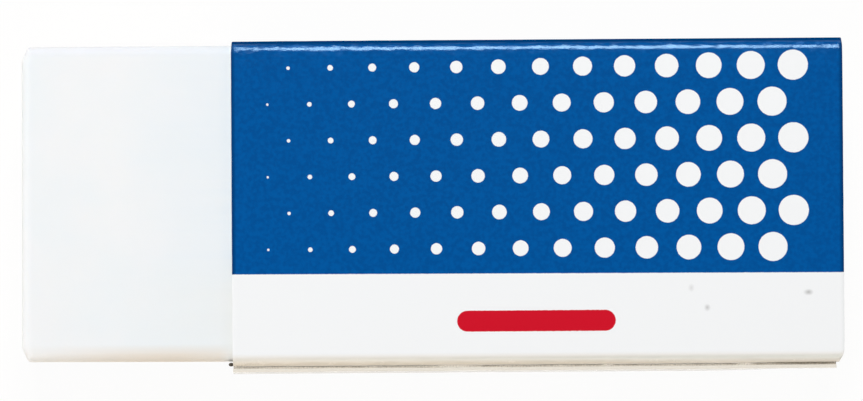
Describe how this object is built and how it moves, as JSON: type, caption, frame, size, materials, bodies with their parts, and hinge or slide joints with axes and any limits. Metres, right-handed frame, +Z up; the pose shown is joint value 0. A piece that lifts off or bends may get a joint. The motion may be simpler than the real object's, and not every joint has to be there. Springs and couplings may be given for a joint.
{
  "type": "rubber eraser",
  "caption": "White vinyl block eraser in a folded card sleeve with a lapped, glued side seam; the block slides lengthwise in the sleeve.",
  "frame": {"origin": "middle of the underside of the whole, sleeve and block, on the ground", "axes": "+X along the eraser away from the bare end, +Y across the broad faces away from the lapped seam, +Z up out of the broad front panel"},
  "size_m": [0.043, 0.0172, 0.0115],
  "materials": {
    "vinyl": "matte",
    "printed_card": "satin"
  },
  "bodies": {
    "sleeve": {"card_sleeve": "printed_card"},
    "block": {"eraser_block": "vinyl"}
  },
  "joints": [
    {"name": "block_slide", "type": "slide", "parent": "sleeve", "child": "block", "axis": [-1, 0, 0], "range_m": [-0.011, 0.032]}
  ]
}
